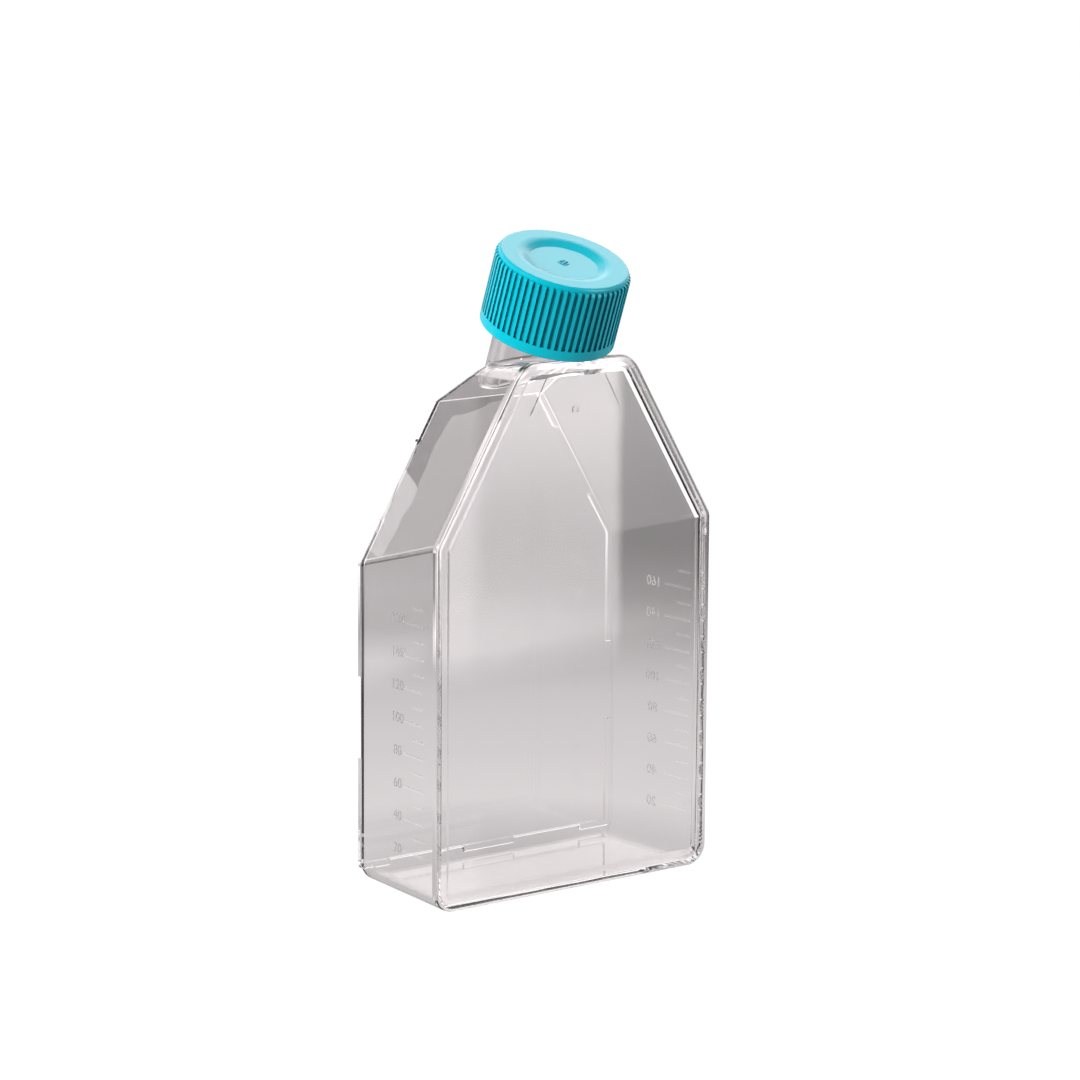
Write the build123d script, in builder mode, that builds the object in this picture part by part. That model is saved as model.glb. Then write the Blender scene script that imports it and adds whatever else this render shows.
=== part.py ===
from build123d import *
import os
from math import cos, hypot, pi, radians, sin

# A cell culture flask that stands on its narrow end: a moulded shell with a slanted neck, a plate
# welded over its open front, and a screw cap with a sealing liner. Millimetres, +Z up. X is across
# the flask, -Y is the side of the plate, and the origin is on the resting face, midway in X and in
# the depth of the walls.

# Driving dimensions -------------------------------------------------------------------------

depth = 36.76                   # front of the plate to the outside of the back wall
wall = 1.4                      # shell wall
weld_clearance = 0.05           # between the plate and the shell along the weld

# Outline of the plate, seen from the front. The slanted walls run in by lean for each unit of height.
plate_half_width = 42.25
plate_height = 133.0
plate_neck_margin = 4.21        # how much wider than the neck the top is, on each side
lean = 0.60
plate_low_radius = 5.3
plate_shoulder_radius = 4.0
plate_top_radius = 7.5

# Section of the plate: a flat ring, a sloped step and a recessed panel.
ring_thickness = 1.8
ring_width = 3.0
step_width = 1.25
step_depth = 0.9
panel_thickness = 1.6
panel_radius = 1.5
plate_edge_round = 0.8
corner_least_radius = 0.5       # of any corner that an inset would sharpen
spigot_clearance = 0.15

# Shell: the outline at the weld stands back from the plate's edge, and narrows to the back wall.
plate_overhang = 0.5
top_step = 0.55                 # the shell's top stands this far below the plate's
side_draft = 2.39               # how much narrower the back is than the weld, on each side
back_shoulder_fall = 9.65       # from the plate's shoulder down to the back's
back_low_radius = 5.2
back_shoulder_radius = 3.0
back_top_radius = 4.0
back_edge_round = 1.0
ridge_offset = 4.96             # from the neck's axis back to where the top wall meets the ramp
top_wall_fall = 2.05            # from the weld to that ridge
ramp_fall = 10.9                # from the ridge to the back wall
ridge_round = 1.5               # along the ridge and the sides of the ramp
base_trim = 0.02                # moulded below the resting face and cut off flat

# Raised strips on the back, which the flask lies on.
foot_width = 1.6
foot_height = 1.0
foot_edge_gap = 0.3
foot_low = 2.6
foot_low_radius = 1.6
foot_upper_gap = 0.5            # from the ramp down to the upper strips
foot_upper_length = 9.5
foot_above_shoulder = 10.05
foot_below_shoulder = 29.05
foot_low_strip_top = 31.4
foot_low_strip_end = 29.3
foot_middle_half_length = 7.9

# Raised volume marks on both side walls.
mark_first = 12.6
mark_spacing = 8.22
mark_long = 9.0
mark_short = 4.6
mark_front_end = -11.6          # y where each mark ends, towards the plate
mark_width = 0.4
mark_height = 0.2

# Raised trapezoid on the panel, near the neck.
badge_top_half_width = 8.6
badge_low_half_width = 13.6
badge_height = 9.0
badge_top_gap = 3.6             # from the plate's top edge
badge_gap_half_width = 3.4
badge_ring_radius = 0.9
badge_line = 0.45
badge_relief = 0.2

# Neck and cap: both on one axis in the plane X = 0, leaning towards the plate.
neck_tilt = 20.8
neck_set_back = 1.54            # from the plate's front face, at the plate's top
cap_plate_clearance = 0.67      # between the cap's mouth and the plate's front top edge
neck_radius = 12.6
neck_wall = 1.6
neck_rim_round = 0.4
neck_root_round = 1.5           # fillet where the neck leaves the top wall and the ramp

cap_height = 19.5
cap_wall = 2.0                  # with the ribs
cap_edge_width = 0.75           # rounded edge round the flat top
cap_edge_drop = 0.6
cap_rim_width = 4.4             # flat ring round the dish
cap_mouth_round = 0.35
dish_slope_width = 2.6
dish_depth = 1.0
dish_round = 5.0                # where the flat top runs over into the dish
cap_top_wall = 1.6
rib_count = 60
rib_stand = 0.65                # how far the ribs stand out from the edge of the top
rib_top = 1.1                   # below the flat top, where the ribs' rounded ends start
rib_end_drop = 0.8              # height of those rounded ends
rib_low = 2.7                   # smooth band left at the mouth
groove_share = 0.56             # part of each pitch that is groove
groove_extra = 0.05             # depth of the grooves below the foot of the ribs
groove_corner = 0.18
gate_ring_radius = 1.2
gate_ring_width = 0.3
gate_relief = 0.15
gate_nub_radius = 0.28
gate_nub_height = 0.35
gate_nub_count = 3

liner_thickness = 1.0
liner_clearance = 0.6           # round the liner, inside the cap
seal_clearance = 0.05

# Thread, right-handed, one start.
thread_pitch = 4.0
thread_depth = 1.8
thread_clearance = 0.5          # between a ridge's crest and the wall that faces it
thread_root_width = 1.7
thread_crest_width = 0.9
thread_bite = 0.1               # how far a ridge's root sits in the wall that carries it
neck_thread_turns = 1.0
neck_thread_top = 2.4           # rim to the middle of the ridge's upper end
cap_thread_turns = 0.75

# Places worked out from the driving dimensions -------------------------------------------------

front_y = -depth / 2
back_y = depth / 2
weld_y = front_y + ring_thickness
shell_front_y = weld_y + weld_clearance
slant = hypot(1, lean)
tilt_sine = sin(radians(neck_tilt))
tilt_cosine = cos(radians(neck_tilt))

cap_inner_radius = neck_radius + thread_depth + thread_clearance
cap_radius = cap_inner_radius + cap_wall
rib_foot_radius = cap_radius - rib_stand
cap_flat_radius = rib_foot_radius - cap_edge_width
dish_radius = cap_flat_radius - cap_rim_width
dish_floor_radius = dish_radius - dish_slope_width
liner_radius = cap_inner_radius - liner_clearance

# The neck's axis crosses the height of the plate's top at neck_y, and the cap sits above that point.
neck_axis = Vector(0, -tilt_sine, tilt_cosine)
neck_y = front_y + neck_set_back + neck_radius / tilt_cosine
cap_reach = cap_height + cap_plate_clearance * tilt_cosine + (neck_y - front_y) * tilt_sine
cap_top = Vector(0, neck_y, plate_height) + neck_axis * cap_reach
cap_plane = Plane(origin=cap_top, x_dir=(1, 0, 0), z_dir=neck_axis)

plate_top_half_width = neck_radius + plate_neck_margin
plate_shoulder = plate_height - (plate_half_width - plate_top_half_width) / lean
shell_half_width = plate_half_width - plate_overhang
shell_shoulder = plate_shoulder - plate_overhang * (slant - 1) / lean
back_half_width = shell_half_width - side_draft
back_shoulder = plate_shoulder - back_shoulder_fall
ridge_y = neck_y + ridge_offset
top_front_height = plate_height - top_step
ridge_height = top_front_height - top_wall_fall
ramp_back_height = ridge_height - ramp_fall
top_fall = top_wall_fall / (ridge_y - shell_front_y)
back_top_height = top_front_height - top_fall * (back_y - shell_front_y)
mark_count = int((back_shoulder - mark_first) / mark_spacing)

neck_root_rise = cap_top.Z - ramp_back_height + wall + neck_radius * tilt_sine
neck_root_depth = neck_root_rise / tilt_cosine
neck_start = Plane(origin=cap_plane.offset(-neck_root_depth).origin, x_dir=cap_plane.y_dir, z_dir=neck_axis)
cap_ceiling = -(dish_depth + cap_top_wall)
liner_top = cap_ceiling - seal_clearance
liner_low = liner_top - liner_thickness
neck_rim = liner_low - seal_clearance
neck_thread_low = neck_rim - neck_thread_top - neck_thread_turns * thread_pitch
cap_thread_low = neck_thread_low - thread_pitch / 2


def bottle_face(half_width, low, shoulder, high, radii, inset=0.0, mode=Mode.ADD):
    """Bottle-shaped face in the current sketch: upright sides, slanted shoulders, rounded corners."""
    side = half_width - inset
    bottom = low + inset
    top = high - inset
    bend = shoulder - inset * (slant - 1) / lean
    top_side = side - lean * (top - bend)
    low_round, bend_round, top_round = [max(radius - inset, corner_least_radius) for radius in radii]
    with BuildLine() as rim:
        FilletPolyline(
            (-side, bottom), (side, bottom), (side, bend), (top_side, top), (-top_side, top), (-side, bend),
            radius=[low_round, low_round, bend_round, top_round, top_round, bend_round],
            close=True,
        )
    make_face(rim.edges(), mode=mode)


def plate_outline(y, inset=0.0, corner_radii=None):
    """The plate's outline on the plane at y, moved inwards by inset."""
    radii = corner_radii or (plate_low_radius, plate_shoulder_radius, plate_top_radius)
    with BuildSketch(Plane.XZ.offset(-y)) as face:
        bottle_face(plate_half_width, 0, plate_shoulder, plate_height, radii, inset)
    return face.sketch


def shell_outline(y, inset=0.0, low=0.0):
    """The shell's outline on the plane at y: it narrows from the weld to the back wall."""
    share = (y - shell_front_y) / (back_y - shell_front_y)

    def between(front, back):
        return front + (back - front) * share

    with BuildSketch(Plane.XZ.offset(-y)) as face:
        bottle_face(
            between(shell_half_width, back_half_width),
            low,
            between(shell_shoulder, back_shoulder),
            between(top_front_height, back_top_height),
            (
                between(plate_low_radius - plate_overhang, back_low_radius),
                between(plate_shoulder_radius - plate_overhang, back_shoulder_radius),
                between(plate_top_radius - plate_overhang, back_top_radius),
            ),
            inset,
        )
    return face.sketch


def thread_ridge(low, turns, wall_radius, bite, reach):
    """One right-handed thread ridge about the neck's axis: low is the depth of its lower end."""
    centre = cap_plane.offset(low).origin
    with BuildLine() as route:
        Helix(thread_pitch, thread_pitch * turns, wall_radius, center=centre, direction=neck_axis)
    start = Plane(origin=route.line @ 0, x_dir=route.line @ 0 - centre, z_dir=route.line % 0)
    with BuildSketch(start) as section:
        with BuildLine():
            Polyline(
                (bite, -thread_root_width / 2), (reach, -thread_crest_width / 2),
                (reach, thread_crest_width / 2), (bite, thread_root_width / 2), close=True,
            )
        make_face()
    with BuildPart() as ridge:
        sweep(sections=section.sketch, path=route.line, is_frenet=True)
    return ridge.part


def side_wall_plane(side):
    """Outer face of the right (side = 1) or left (side = -1) wall, with +Z as its y direction."""
    run = Vector(side * (back_half_width - shell_half_width), back_y - shell_front_y, 0).normalized()
    front = Vector(side * shell_half_width, shell_front_y, 0)
    x_dir = run * side
    return Plane(origin=front, x_dir=x_dir, z_dir=x_dir.cross(Vector(0, 0, 1)))


def volume_marks(side):
    """Raised marks on one side wall: a long one at each numeral and a short one half-way to it."""
    along = side * (mark_front_end - shell_front_y)
    with BuildSketch(side_wall_plane(side)) as marks:
        for step in range(mark_count):
            height = mark_first + step * mark_spacing
            with Locations((along + side * mark_long / 2, height)):
                Rectangle(mark_long, mark_width)
            with Locations((along + side * mark_short / 2, height + mark_spacing / 2)):
                Rectangle(mark_short, mark_width)
    return marks.sketch


def feet():
    """Faces of the strips on the back: a band inside the outline, kept only where it is a foot."""
    with BuildSketch() as kept:
        upper_top = ramp_back_height - foot_upper_gap
        upper_strip = (upper_top - foot_upper_length, upper_top)
        shoulder_strip = (back_shoulder - foot_below_shoulder, back_shoulder + foot_above_shoulder)
        for low, high in (upper_strip, shoulder_strip, (0, foot_low_strip_top)):
            with Locations((0, (low + high) / 2)):
                Rectangle(2 * back_half_width, high - low)
        with Locations((0, 0)):
            gap = foot_low_strip_end - foot_middle_half_length
            reach = foot_middle_half_length + gap / 2
            with Locations((-reach, 0), (reach, 0)):
                Rectangle(gap, 2 * (foot_low + foot_width), mode=Mode.SUBTRACT)
    radii = (foot_low_radius, back_shoulder_radius, back_top_radius)
    sizes = (back_half_width, foot_low, back_shoulder, back_top_height, radii)
    outer = foot_edge_gap
    inner = foot_edge_gap + foot_width
    with BuildSketch(Plane.XZ.offset(-back_y)) as band:
        bottle_face(*sizes, outer)
        bottle_face(*sizes, inner, mode=Mode.SUBTRACT)
        add(kept.sketch, mode=Mode.INTERSECT)
    return band.sketch


ramp = Plane(
    origin=(0, back_y, ramp_back_height),
    x_dir=(1, 0, 0),
    z_dir=(0, ridge_height - ramp_back_height, back_y - ridge_y),
)

# Shell, neck and neck thread: one moulding ------------------------------------------------------

with BuildPart() as cavity:
    loft(sections=[shell_outline(front_y, wall), shell_outline(back_y - wall, wall)], ruled=True)
    split(bisect_by=ramp.offset(-wall), keep=Keep.BOTTOM)

with BuildPart() as flask_body:
    outlines = [shell_outline(y, low=-base_trim) for y in (shell_front_y, back_y)]
    loft(sections=outlines, ruled=True)
    split(bisect_by=ramp, keep=Keep.BOTTOM)
    split(bisect_by=Plane.XY, keep=Keep.TOP)
    ramp_middle = (0, (ridge_y + back_y) / 2, (ridge_height + ramp_back_height) / 2)
    ramp_face = flask_body.faces().sort_by_distance(ramp_middle)[0]
    fillet(ramp_face.edges().sort_by_distance((0, ridge_y, ridge_height))[0], ridge_round)
    fillet(flask_body.faces().sort_by(Axis.Y)[-1].edges(), back_edge_round)
    # Neck, open through to the inside
    with BuildSketch(neck_start):
        Circle(neck_radius)
    extrude(amount=neck_root_depth + neck_rim)
    neck_face = flask_body.faces().filter_by(GeomType.CYLINDER).sort_by(SortBy.AREA)[-1]
    root_edges = neck_face.edges().filter_by(GeomType.CIRCLE, reverse=True)
    root_edges = root_edges.filter_by(GeomType.LINE, reverse=True)
    fillet(root_edges.filter_by_position(Axis.Y, shell_front_y + weld_clearance, back_y), neck_root_round)
    add(cavity.part, mode=Mode.SUBTRACT)
    with BuildSketch(neck_start):
        Circle(neck_radius - neck_wall)
    extrude(amount=neck_root_depth + neck_rim, mode=Mode.SUBTRACT)
    rim_edges = flask_body.faces().sort_by(Axis(cap_plane.origin, neck_axis))[-1].edges()
    fillet(rim_edges, neck_rim_round)
    # The neck's foot stays clear of the plate's top edge
    with BuildSketch(Plane.XY.offset(plate_height + weld_clearance)):
        with Locations((0, shell_front_y - depth / 2)):
            Rectangle(2 * plate_half_width, depth)
    extrude(amount=-plate_height, mode=Mode.SUBTRACT)
    add(thread_ridge(neck_thread_low, neck_thread_turns, neck_radius, -thread_bite, thread_depth))
    extrude(feet(), amount=-foot_height)
    for side in (-1, 1):
        extrude(volume_marks(side), amount=mark_height)
flask_body.part.label = "flask_body"

# Plate ------------------------------------------------------------------------------------------

with BuildPart() as face_plate:
    extrude(plate_outline(front_y), amount=-ring_thickness)
    front_edges = face_plate.faces().sort_by(Axis.Y)[0].edges()
    fillet(front_edges, plate_edge_round)
    panel_radii = (panel_radius + ring_width,) * 3
    step_top = plate_outline(front_y, ring_width, panel_radii)
    step_foot = plate_outline(front_y + step_depth, ring_width + step_width, panel_radii)
    loft(sections=[step_top, step_foot], ruled=True, mode=Mode.SUBTRACT)
    # Spigot inside the shell's rim
    spigot_inset = wall + spigot_clearance
    spigot_y = front_y + step_depth + panel_thickness
    loft(sections=[shell_outline(weld_y, spigot_inset), shell_outline(spigot_y, spigot_inset)], ruled=True)
    # Badge
    with BuildSketch(Plane.XZ.offset(-(front_y + step_depth))):
        badge_top = plate_height - badge_top_gap
        badge_low = badge_top - badge_height
        for side in (-1, 1):
            with BuildLine():
                Polyline(
                    (side * badge_gap_half_width, badge_low),
                    (side * badge_low_half_width, badge_low),
                    (side * badge_top_half_width, badge_top),
                )
            trace(line_width=badge_line)
        with Locations((0, badge_low)):
            Circle(badge_ring_radius + badge_line / 2)
            Circle(badge_ring_radius - badge_line / 2, mode=Mode.SUBTRACT)
    extrude(amount=badge_relief)
face_plate.part.label = "face_plate"

# Cap --------------------------------------------------------------------------------------------

with BuildPart() as cap:
    section_plane = Plane(origin=cap_plane.origin, x_dir=cap_plane.x_dir, z_dir=-cap_plane.y_dir)
    with BuildSketch(section_plane):
        with BuildLine():
            inner_corner = (cap_inner_radius, cap_ceiling)
            Polyline(
                (cap_flat_radius, 0), (dish_radius, 0), (dish_floor_radius, -dish_depth), (0, -dish_depth),
                (0, cap_ceiling), inner_corner, (cap_inner_radius, -cap_height), (cap_radius, -cap_height),
                (cap_radius, -rib_top - rib_end_drop),
            )
            EllipticalCenterArc(
                (rib_foot_radius, -rib_top - rib_end_drop),
                rib_stand,
                rib_end_drop,
                start_angle=0,
                arc_size=90,
            )
            Line((rib_foot_radius, -rib_top), (rib_foot_radius, -cap_edge_drop))
            EllipticalCenterArc(
                (cap_flat_radius, -cap_edge_drop),
                rib_foot_radius - cap_flat_radius,
                cap_edge_drop,
                start_angle=0,
                arc_size=90,
            )
        make_face()
    revolve(axis=Axis(cap_plane.origin, neck_axis))
    along_axis = Axis(cap_plane.origin, neck_axis)
    mouth_edges = cap.faces().sort_by(along_axis)[0].edges()
    fillet(mouth_edges, cap_mouth_round)
    fillet(cap.faces().sort_by(along_axis)[-1].inner_wires()[0].edges(), dish_round)
    # Grip ribs, left standing between grooves
    groove_width = 2 * pi * cap_radius / rib_count * groove_share
    groove_depth = rib_stand + groove_extra
    with BuildSketch(cap_plane.offset(-rib_top)):
        with PolarLocations(cap_radius, rib_count):
            RectangleRounded(2 * groove_depth, groove_width, groove_corner)
    extrude(amount=-(cap_height - rib_top - rib_low), mode=Mode.SUBTRACT)
    add(thread_ridge(cap_thread_low, cap_thread_turns, cap_inner_radius, thread_bite, -thread_depth))
    # Gate mark
    with BuildSketch(cap_plane.offset(-dish_depth)):
        Circle(gate_ring_radius + gate_ring_width / 2)
        Circle(gate_ring_radius - gate_ring_width / 2, mode=Mode.SUBTRACT)
    extrude(amount=gate_relief)
    with BuildSketch(cap_plane.offset(-dish_depth)):
        with PolarLocations(gate_ring_radius / 2, gate_nub_count):
            Circle(gate_nub_radius)
    extrude(amount=gate_nub_height)
cap.part.label = "cap"

# Liner ------------------------------------------------------------------------------------------

with BuildPart() as cap_liner:
    with BuildSketch(cap_plane.offset(liner_low)):
        Circle(liner_radius)
    extrude(amount=liner_thickness)
cap_liner.part.label = "cap_liner"

os.makedirs("parts", exist_ok=True)
for piece in (flask_body, face_plate, cap, cap_liner):
    export_step(piece.part, f"parts/{piece.part.label}.step")
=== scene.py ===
from math import cos, pi, radians, sin

import bpy
from mathutils import Matrix, Vector


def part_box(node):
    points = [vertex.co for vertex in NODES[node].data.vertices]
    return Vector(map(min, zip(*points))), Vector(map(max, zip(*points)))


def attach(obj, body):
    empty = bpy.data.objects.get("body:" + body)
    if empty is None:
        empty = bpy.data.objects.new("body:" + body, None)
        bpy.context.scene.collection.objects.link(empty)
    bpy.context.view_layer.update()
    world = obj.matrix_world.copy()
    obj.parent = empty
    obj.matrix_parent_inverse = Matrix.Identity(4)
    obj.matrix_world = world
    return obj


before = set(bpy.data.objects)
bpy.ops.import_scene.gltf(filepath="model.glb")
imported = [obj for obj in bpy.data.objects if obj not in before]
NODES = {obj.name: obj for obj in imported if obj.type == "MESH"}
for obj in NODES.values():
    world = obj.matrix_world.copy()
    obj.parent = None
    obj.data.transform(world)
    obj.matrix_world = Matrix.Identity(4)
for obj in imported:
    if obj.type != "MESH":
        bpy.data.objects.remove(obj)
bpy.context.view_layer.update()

# Camera ------------------------------------------------------------------------------------------

# Angles are in degrees, the lens and the sensor in millimetres, and the rest is in metres. The camera's
# place and turn come from a fit to the object's straight edges in the photo.
CAMERA_AZIMUTH = -37.317
CAMERA_ELEVATION = 10.892
CAMERA_ROLL = 0.418
CAMERA_DISTANCE = 1.07217
CAMERA_TARGET = Vector((0.002546, 0.0, 0.08502))
CAMERA_LENS = 143.75
SENSOR = 36.0
NEAREST = 0.01
FARTHEST = 50.0


def make_camera():
    """A long lens at the viewing angle, looking a little down at the standing flask."""
    azimuth = radians(CAMERA_AZIMUTH)
    elevation = radians(CAMERA_ELEVATION)
    roll = radians(CAMERA_ROLL)
    back = Vector((sin(azimuth) * cos(elevation), -cos(azimuth) * cos(elevation), sin(elevation)))
    level_right = Vector((cos(azimuth), sin(azimuth), 0.0))
    level_up = back.cross(level_right)
    right = level_right * cos(roll) + level_up * sin(roll)
    up = level_up * cos(roll) - level_right * sin(roll)
    data = bpy.data.cameras.new("camera")
    data.lens = CAMERA_LENS
    data.sensor_width = SENSOR
    data.clip_start = NEAREST
    data.clip_end = FARTHEST
    camera = bpy.data.objects.new("camera", data)
    turn = Matrix((right, up, back)).transposed()
    camera.matrix_world = Matrix.Translation(CAMERA_TARGET + back * CAMERA_DISTANCE) @ turn.to_4x4()
    bpy.context.scene.collection.objects.link(camera)
    bpy.context.scene.camera = camera


# Materials ---------------------------------------------------------------------------------------

# Each plastic: colour, size and depth of its moulding waves, and the roughness they vary between
WAVE_DETAIL = 2.0
CLEAR_COLOUR = (0.99, 0.99, 0.99)
CLEAR_GRAIN = 0.03
CLEAR_DEPTH = 0.00006
CLEAR_IOR = 1.59
POLISHED = (0.005, 0.015)
FROSTED = (0.3, 0.45)
CAP_COLOUR = (0.0, 0.50, 0.62)
CAP_GRAIN = 0.0015
CAP_DEPTH = 0.0000015
CAP_GLOSS = (0.19, 0.25)
CAP_SPREAD = 0.04           # how much the colour varies
CAP_IOR = 1.5
CAP_SPECULAR = 0.19
LINER_COLOUR = (0.8, 0.8, 0.76)
LINER_GRAIN = 0.001
LINER_DEPTH = 0.00001
LINER_GLOSS = (0.45, 0.6)
LINER_SPREAD = 0.02
# Painted shade in the cap's groove bottoms: its colour is darkened where ambient occlusion finds walls
# close by
GROOVE_SHADE_REACH = 0.0015       # how far a groove's own walls count
GROOVE_SHADE_OPEN = (0.45, 0.9)   # openness of the deepest and of the unshaded parts
GROOVE_SHADE_SHARE = 0.62         # share of the colour left in the deepest parts
GROOVE_SHADE_SAMPLES = 8


class Graph:
    """A node tree with short calls for the nodes that the materials share."""

    def __init__(self, tree):
        self.tree = tree

    def node(self, kind, **values):
        node = self.tree.nodes.new(kind)
        for name, value in values.items():
            setattr(node, name, value)
        return node

    def link(self, source, target):
        self.tree.links.new(source, target)

    def math(self, operation, first, second=None):
        node = self.node("ShaderNodeMath", operation=operation)
        for socket, value in zip(node.inputs, (first, second)):
            if value is None:
                continue
            if isinstance(value, (int, float)):
                socket.default_value = value
            else:
                self.link(value, socket)
        return node.outputs["Value"]

    def curve(self, value, points):
        """Level at value, straight between (place, level) points that run from place 0 up."""
        reach = points[-1][0]
        peak = max(level for place, level in points)
        ramp = self.node("ShaderNodeValToRGB")
        stops = ramp.color_ramp.elements
        stops[1].position = 1.0
        for place, level in points[1:-1]:
            stops.new(place / reach)
        for stop, (place, level) in zip(stops, points):
            stop.color = (level / peak, level / peak, level / peak, 1.0)
        self.link(self.math("DIVIDE", value, reach), ramp.inputs["Fac"])
        return self.math("MULTIPLY", ramp.outputs["Color"], peak)


def principled(name):
    """A new material with its Principled shader."""
    material = bpy.data.materials.new(name)
    material.use_nodes = True
    return material, material.node_tree.nodes["Principled BSDF"]


def moulded(name, colour, grain, depth, gloss, colour_spread=0.0):
    """Plastic with the slight waves and the uneven gloss that moulding leaves."""
    material, shader = principled(name)
    shader.inputs["Base Color"].default_value = (*colour, 1.0)
    graph = Graph(material.node_tree)
    place = graph.node("ShaderNodeTexCoord")
    noise = graph.node("ShaderNodeTexNoise")
    noise.inputs["Scale"].default_value = 1.0 / grain
    noise.inputs["Detail"].default_value = WAVE_DETAIL
    graph.link(place.outputs["Object"], noise.inputs["Vector"])
    spread = graph.node("ShaderNodeMapRange")
    spread.inputs["To Min"].default_value = gloss[0]
    spread.inputs["To Max"].default_value = gloss[1]
    graph.link(noise.outputs["Fac"], spread.inputs["Value"])
    graph.link(spread.outputs["Result"], shader.inputs["Roughness"])
    bump = graph.node("ShaderNodeBump")
    bump.inputs["Distance"].default_value = depth
    graph.link(noise.outputs["Fac"], bump.inputs["Height"])
    graph.link(bump.outputs["Normal"], shader.inputs["Normal"])
    if colour_spread:
        ramp = graph.node("ShaderNodeValToRGB")
        for stop, share in zip(ramp.color_ramp.elements, (1.0 - colour_spread, 1.0 + colour_spread)):
            stop.color = (*[channel * share for channel in colour], 1.0)
        graph.link(noise.outputs["Fac"], ramp.inputs["Fac"])
        graph.link(ramp.outputs["Color"], shader.inputs["Base Color"])
    return material, shader


def clear_plastic(name, gloss):
    """Clear polystyrene."""
    material, shader = moulded(name, CLEAR_COLOUR, CLEAR_GRAIN, CLEAR_DEPTH, gloss)
    shader.inputs["Transmission Weight"].default_value = 1.0
    shader.inputs["IOR"].default_value = CLEAR_IOR
    return material


def cap_plastic():
    """Turquoise plastic, with painted shade darkening its colour in the groove bottoms between the ribs.
    """
    material, shader = moulded("cap_turquoise", CAP_COLOUR, CAP_GRAIN, CAP_DEPTH, CAP_GLOSS, CAP_SPREAD)
    shader.inputs["IOR"].default_value = CAP_IOR
    shader.inputs["Specular IOR Level"].default_value = CAP_SPECULAR
    graph = Graph(material.node_tree)
    # Painted shade: ambient occlusion scales the base colour down in the groove bottoms
    groove_shade = graph.node("ShaderNodeAmbientOcclusion", samples=GROOVE_SHADE_SAMPLES)
    groove_shade.inputs["Distance"].default_value = GROOVE_SHADE_REACH
    depth = graph.node("ShaderNodeMapRange")
    depth.inputs["From Min"].default_value = GROOVE_SHADE_OPEN[0]
    depth.inputs["From Max"].default_value = GROOVE_SHADE_OPEN[1]
    depth.inputs["To Min"].default_value = GROOVE_SHADE_SHARE
    graph.link(groove_shade.outputs["AO"], depth.inputs["Value"])
    shaded_colour = graph.node("ShaderNodeVectorMath", operation="SCALE")
    graph.link(shader.inputs["Base Color"].links[0].from_socket, shaded_colour.inputs[0])
    graph.link(depth.outputs["Result"], shaded_colour.inputs["Scale"])
    graph.link(shaded_colour.outputs["Vector"], shader.inputs["Base Color"])
    return material


def liner_plastic():
    """Pale soft disc."""
    return moulded("liner_white", LINER_COLOUR, LINER_GRAIN, LINER_DEPTH, LINER_GLOSS, LINER_SPREAD)[0]


def paint(node, material):
    """Gives one CAD node its material."""
    slots = NODES[node].data.materials
    slots.clear()
    slots.append(material)


# Floor and light ---------------------------------------------------------------------------------

FLOOR_SIZE = 12.0
FLOOR_WHITE = 1.0                   # glow of the white sheet that the camera sees
FLOOR_GREY = (0.05, 0.05, 0.05)     # its own colour, dark enough that no light shows on it
FLOOR_ROUGHNESS = 0.8
LIT_DROP = 0.0002                   # of the sheet that the plastic shows, below the white one
STUDIO_TINT = (1.0, 0.945, 0.955)
# The points below are (place, brightness) pairs, chosen by trial so that the clear walls, which show
# nothing but what surrounds them, take the tones that they have in the studio of the photo.
# The room, from the camera's side (0) to the far side (1), and its share from horizon to zenith
ROOM_BEHIND = ((0.0, 0.12), (0.25, 0.12), (0.42, 0.5), (0.62, 0.8), (0.8, 1.35), (1.0, 1.35))
ROOM_UP = ((0.0, 1.0), (0.6, 1.0), (0.85, 0.5), (1.0, 0.3))
# The table as the clear plastic shows it, by distance from the flask in metres
TABLE_GLOW = (
    (0.0, 0.40), (0.055, 0.61), (0.08, 0.73), (0.13, 0.66), (0.17, 0.635), (0.21, 0.60), (0.26, 0.49),
    (0.31, 0.34), (0.35, 0.18), (0.38, 0.12), (0.44, 0.06), (0.88, 0.06), (0.95, 0.50), (1.20, 0.60)
)
# At least this bright along the X and Y axes, by distance from the axis
STRIP_GLOW = ((0.0, 0.45), (0.08, 0.45), (0.18, 0.0), (1.0, 0.0))
# A brighter band to the back left and the front right: by distance, and by X and Y times PATCH_LINE
PATCH_GLOW = ((0.0, 0.0), (0.24, 0.0), (0.29, 0.9), (0.34, 0.7), (0.40, 1.5), (0.9, 1.5))
PATCH_ACROSS = ((0.0, 0.0), (0.045, 0.0), (0.065, 1.0), (0.15, 1.0), (0.25, 0.0), (2.0, 0.0))
PATCH_LINE = Vector((1.0, 0.95, 0.0))
# The upright card to the right of the front
CARD_CENTRE = Vector((0.165, -0.18, 0.159))
CARD_SIZE = (0.33, 0.30)
# The card as mirrored on the outside and as seen from within: name, share of brightness, kind of ray
CARDS = (("card_mirrored", 1.85, "glossy"), ("card_inside", 0.45, "transmission"))
# Its brightness by height and by X, and how much of it is there (1) or clear (0)
CARD_UP = (
    (0.0, 0.75), (0.009, 0.75), (0.02, 2.1), (0.033, 3.3),
    (0.045, 3.5), (0.06, 3.7), (0.085, 4.7), (0.31, 4.7)
)
CARD_ACROSS = ((0.0, 1.12), (0.087, 1.12), (0.090, 1.0), (0.141, 1.0), (0.144, 0.42), (0.33, 0.38))
CARD_COVER_UP = ((0.0, 0.0), (0.005, 0.0), (0.02, 1.0), (0.31, 1.0))
CARD_COVER_ACROSS = ((0.0, 0.0), (0.075, 1.0), (0.33, 1.0))
# The far cards: brightness, and corners (x, z), set around the places that the slanted left wall
# mirrors at the photo's angle
FAR_CARD_Y = 0.8
FAR_DARK_GLOW = 0.3
FAR_LIGHT_GLOW = 2.4
FAR_DARK = ((-0.134, 0.301), (-0.08, 0.301), (-0.08, 0.37), (-0.128, 0.37), (-0.116, 0.331))
FAR_LIGHT = ((-0.152, 0.270), (-0.10, 0.255), (-0.08, 0.301), (-0.134, 0.301))

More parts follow.
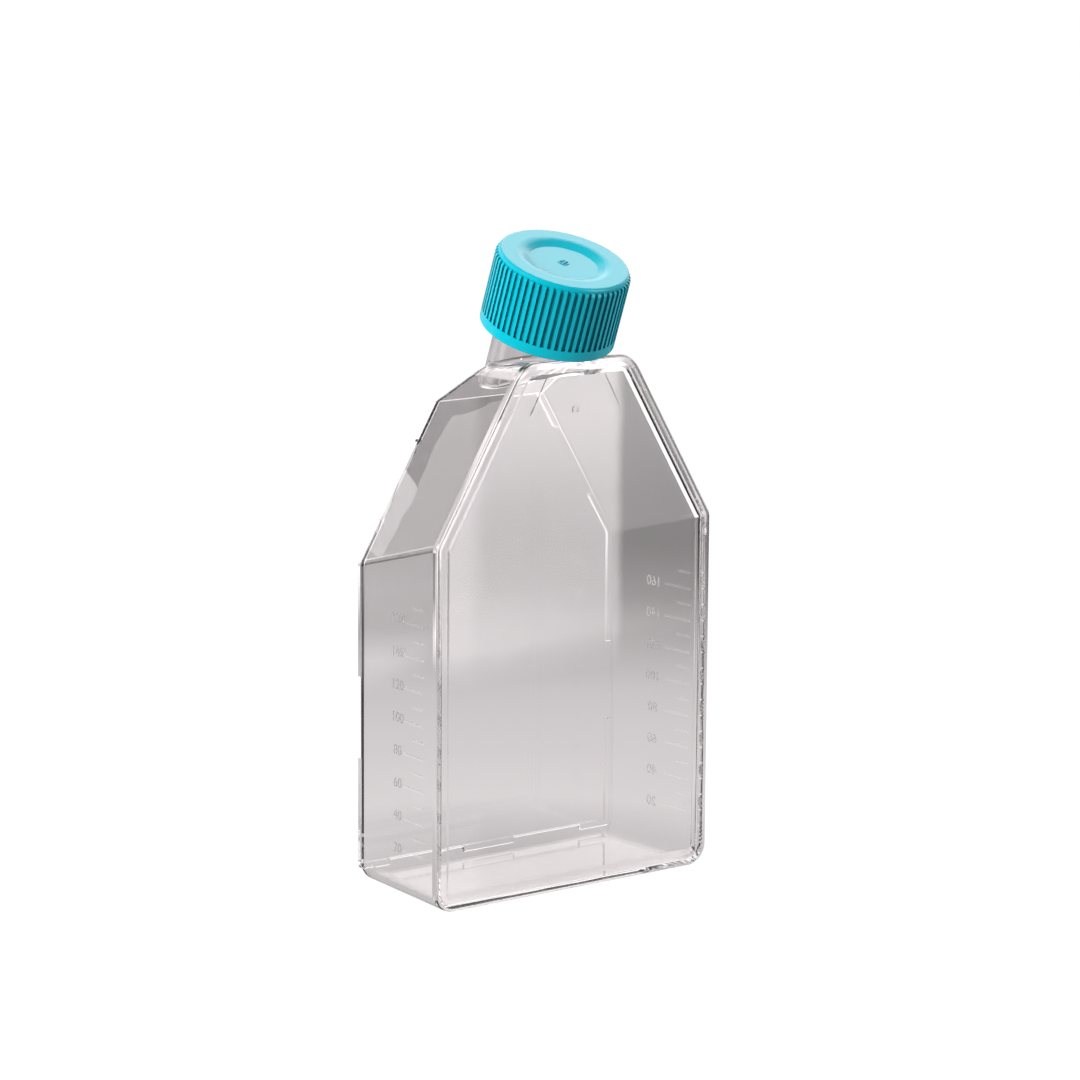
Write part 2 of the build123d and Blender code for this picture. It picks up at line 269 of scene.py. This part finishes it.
# The lights: name, place, the point each is turned to, width, height, brightness, what it serves
LIT = {"diffuse": True, "shadow": True}
MIRRORED = {"glossy": True}
LIGHTS = (
    ("left_key", (-0.9, -0.1, 0.35), (0, 0, 0.14), 0.3, 0.3, 35.0, LIT),
    ("right_key", (0.5, -0.8, 0.35), (0, 0, 0.14), 0.5, 0.5, 2.8, LIT),
    ("left_lamp", (-0.75, 0.1, 0.45), (0, 0, 0.14), 0.10, 0.16, 28.0, MIRRORED),
    ("back_sheen", (0.6, 0.45, 0.80), (0, 0, 0.15), 0.6, 0.6, 2.8, MIRRORED),
    ("top_fill", (0.1, 0.0, 1.1), (0, 0, 0.15), 0.7, 0.7, 1.15, LIT),
)


def show_to(thing, camera=False, diffuse=False, glossy=False, transmission=False, shadow=False):
    """Only the named kinds of ray meet the thing."""
    thing.visible_camera = camera
    thing.visible_diffuse = diffuse
    thing.visible_glossy = glossy
    thing.visible_transmission = transmission
    thing.visible_shadow = shadow


def glow_material(name, strength, cover=None):
    """Emission of one strength, or of what strength(graph) gives, and clear where cover(graph) is 0."""
    material = bpy.data.materials.new(name)
    material.use_nodes = True
    graph = Graph(material.node_tree)
    graph.tree.nodes.clear()
    glow = graph.node("ShaderNodeEmission")
    glow.inputs["Color"].default_value = (*STUDIO_TINT, 1.0)
    if callable(strength):
        graph.link(strength(graph), glow.inputs["Strength"])
    else:
        glow.inputs["Strength"].default_value = strength
    surface = glow.outputs["Emission"]
    if cover is not None:
        fade = graph.node("ShaderNodeMixShader")
        graph.link(cover(graph), fade.inputs[0])
        graph.link(graph.node("ShaderNodeBsdfTransparent").outputs["BSDF"], fade.inputs[1])
        graph.link(surface, fade.inputs[2])
        surface = fade.outputs["Shader"]
    out = graph.node("ShaderNodeOutputMaterial")
    graph.link(surface, out.inputs["Surface"])
    return material


def add_plane(name, width, height, place):
    """A level rectangle for the studio's floor and cards."""
    bpy.ops.mesh.primitive_plane_add(size=1.0, location=place)
    plane = bpy.context.object
    plane.name = name
    plane.scale = (width, height, 1.0)
    return plane


def make_floor():
    """White sheet for the camera, and under it the sheet that the clear plastic shows, lit unevenly."""
    sheet = add_plane("floor", FLOOR_SIZE, FLOOR_SIZE, (0, 0, 0))
    material, shader = principled("floor_white")
    shader.inputs["Base Color"].default_value = (*FLOOR_GREY, 1.0)
    shader.inputs["Roughness"].default_value = FLOOR_ROUGHNESS
    shader.inputs["Specular IOR Level"].default_value = 0.0
    shader.inputs["Emission Color"].default_value = (1.0, 1.0, 1.0, 1.0)
    shader.inputs["Emission Strength"].default_value = FLOOR_WHITE
    sheet.data.materials.append(material)
    show_to(sheet, camera=True)

    def by_place(graph):
        place = graph.node("ShaderNodeNewGeometry")
        length = graph.node("ShaderNodeVectorMath", operation="LENGTH")
        graph.link(place.outputs["Position"], length.inputs[0])
        distance = length.outputs["Value"]
        across = graph.node("ShaderNodeVectorMath", operation="DOT_PRODUCT")
        graph.link(place.outputs["Position"], across.inputs[0])
        across.inputs[1].default_value = PATCH_LINE
        patch = graph.math(
            "MULTIPLY",
            graph.curve(distance, PATCH_GLOW),
            graph.curve(across.outputs["Value"], PATCH_ACROSS),
        )
        glow = graph.math("ADD", graph.curve(distance, TABLE_GLOW), patch)
        parts = graph.node("ShaderNodeSeparateXYZ")
        graph.link(place.outputs["Position"], parts.inputs["Vector"])
        for side in ("X", "Y"):
            aside = graph.math("ABSOLUTE", parts.outputs[side])
            glow = graph.math("MAXIMUM", glow, graph.curve(aside, STRIP_GLOW))
        return glow

    lit = add_plane("floor_lit", FLOOR_SIZE, FLOOR_SIZE, (0, 0, -LIT_DROP))
    lit.data.materials.append(glow_material("floor_lit", by_place))
    show_to(lit, glossy=True, transmission=True)


def make_card():
    """The card beside the front: bright as the plate mirrors it, and dimmer as it shows through walls."""
    def by_place(graph, up_points, across_points):
        place = graph.node("ShaderNodeNewGeometry")
        parts = graph.node("ShaderNodeSeparateXYZ")
        graph.link(place.outputs["Position"], parts.inputs["Vector"])
        up = graph.curve(parts.outputs["Z"], up_points)
        across = graph.curve(parts.outputs["X"], across_points)
        return graph.math("MULTIPLY", up, across)

    def cover(graph):
        return by_place(graph, CARD_COVER_UP, CARD_COVER_ACROSS)

    for name, share, seen_by in CARDS:
        card = add_plane(name, CARD_SIZE[0], CARD_SIZE[1], CARD_CENTRE)
        card.rotation_euler = (radians(90), 0, 0)

        def glow(graph):
            return graph.math("MULTIPLY", by_place(graph, CARD_UP, CARD_ACROSS), share)

        card.data.materials.append(glow_material(name, glow, cover))
        show_to(card, **{seen_by: True})


def make_far_cards():
    """Two cards far behind the flask, which the slanted left wall mirrors: a dark one over a light one."""
    cards = (("far_card_dark", FAR_DARK, FAR_DARK_GLOW), ("far_card_light", FAR_LIGHT, FAR_LIGHT_GLOW))
    for name, corners, glow in cards:
        mesh = bpy.data.meshes.new(name)
        mesh.from_pydata([(x, FAR_CARD_Y, z) for x, z in corners], [], [range(len(corners))])
        card = bpy.data.objects.new(name, mesh)
        bpy.context.scene.collection.objects.link(card)
        mesh.materials.append(glow_material(name, glow))
        show_to(card, glossy=True)


def make_world():
    """White room, dim on the camera's side and overhead, the same for every view."""
    world = bpy.data.worlds.new("studio")
    world.use_nodes = True
    bpy.context.scene.world = world
    graph = Graph(world.node_tree)
    background = world.node_tree.nodes["Background"]
    background.inputs["Color"].default_value = (*STUDIO_TINT, 1.0)
    place = graph.node("ShaderNodeTexCoord")
    parts = graph.node("ShaderNodeSeparateXYZ")
    graph.link(place.outputs["Generated"], parts.inputs["Vector"])
    along = graph.node("ShaderNodeVectorMath", operation="DOT_PRODUCT")
    graph.link(place.outputs["Generated"], along.inputs[0])
    along.inputs[1].default_value = (-sin(radians(CAMERA_AZIMUTH)), cos(radians(CAMERA_AZIMUTH)), 0.0)
    behind = graph.math("ADD", graph.math("MULTIPLY", along.outputs["Value"], 0.5), 0.5)
    strength = graph.curve(behind, ROOM_BEHIND)
    share = graph.curve(graph.math("MAXIMUM", parts.outputs["Z"], 0.0), ROOM_UP)
    graph.link(graph.math("MULTIPLY", strength, share), background.inputs["Strength"])


def add_light(name, spot, aim, width, height, glow, seen_by):
    """Rectangular area light at spot, turned to aim, as bright as a card of the given glow."""
    data = bpy.data.lights.new(name, "AREA")
    data.shape = "RECTANGLE"
    data.size = width
    data.size_y = height
    data.energy = glow * pi * width * height
    light = bpy.data.objects.new(name, data)
    away = (Vector(spot) - Vector(aim)).normalized()
    right = Vector((0, 0, 1)).cross(away).normalized()
    up = away.cross(right)
    turn = Matrix((right, up, away)).transposed().to_4x4()
    light.matrix_world = Matrix.Translation(Vector(spot)) @ turn
    bpy.context.scene.collection.objects.link(light)
    show_to(light, **seen_by)


# Volume numerals ---------------------------------------------------------------------------------

NUMERAL_STEP = 20                       # millilitres
NUMERAL_COUNT = 8
NUMERAL_FIRST = 0.0126                  # height of the first one's middle above the table
NUMERAL_SPACING = 0.00822
NUMERAL_HEIGHT = 0.0025
FONT_SHARE = 0.7                        # of the font's size that a figure takes in height
FONT_STEPS = 4                          # points along each of a figure's curves
NUMERAL_RELIEF = 0.00007                # half of the figures' thickness
NUMERAL_CLEARANCE = 0.00001             # off the wall
NUMERAL_PLACE = {-1: 0.0005, 1: 0.0015}     # along Y, on the left and the right wall
SIDE_NAMES = {-1: "left", 1: "right"}
WALL_DRAFT = 0.06846                    # how far the side walls come in, per length towards the back


def numeral_mesh(text):
    """Thin raised figures, centred on the origin in the XY plane."""
    curve = bpy.data.curves.new("numeral", "FONT")
    curve.body = text
    curve.size = NUMERAL_HEIGHT / FONT_SHARE
    curve.align_x = "CENTER"
    curve.align_y = "CENTER"
    curve.extrude = NUMERAL_RELIEF
    curve.resolution_u = FONT_STEPS
    writing = bpy.data.objects.new("numeral", curve)
    bpy.context.scene.collection.objects.link(writing)
    depsgraph = bpy.context.evaluated_depsgraph_get()
    mesh = bpy.data.meshes.new_from_object(writing.evaluated_get(depsgraph))
    bpy.data.objects.remove(writing)
    bpy.data.curves.remove(curve)
    return mesh


def make_numerals(side, material):
    """The column of figures on one side wall: -1 is the left one, 1 the right one."""
    shell_low, shell_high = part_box("flask_body")
    place = NUMERAL_PLACE[side]
    out = shell_high[0] - WALL_DRAFT * (place - shell_low[1]) + NUMERAL_RELIEF + NUMERAL_CLEARANCE
    reading = Vector((side * -WALL_DRAFT, side, 0.0)).normalized()
    up = Vector((0.0, 0.0, 1.0))
    outward = reading.cross(up)
    turn = Matrix((reading, up, outward)).transposed().to_4x4()
    for index in range(NUMERAL_COUNT):
        mesh = numeral_mesh(str(NUMERAL_STEP * (index + 1)))
        mesh.materials.clear()
        mesh.materials.append(material)
        figure = bpy.data.objects.new(f"numeral_{SIDE_NAMES[side]}_{index + 1}", mesh)
        height = NUMERAL_FIRST + NUMERAL_SPACING * index
        figure.matrix_world = Matrix.Translation((side * out, place, height)) @ turn
        bpy.context.scene.collection.objects.link(figure)
        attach(figure, "flask")


make_camera()
make_world()
make_floor()
make_card()
make_far_cards()
for light in LIGHTS:
    add_light(*light)
paint("flask_body", clear_plastic("clear_shell_plastic", POLISHED))
paint("face_plate", clear_plastic("clear_plate_plastic", POLISHED))
frosted = clear_plastic("clear_numeral_plastic", FROSTED)
for side in NUMERAL_PLACE:
    make_numerals(side, frosted)
paint("cap", cap_plastic())
paint("cap_liner", liner_plastic())

# Light that is caught in the clear walls needs many turns to come out again at their edges
THROUGH_BOUNCES = 32
MIRROR_BOUNCES = 24
scene = bpy.context.scene
scene.view_settings.view_transform = "Standard"
scene.cycles.max_bounces = THROUGH_BOUNCES
scene.cycles.transmission_bounces = THROUGH_BOUNCES
scene.cycles.glossy_bounces = MIRROR_BOUNCES
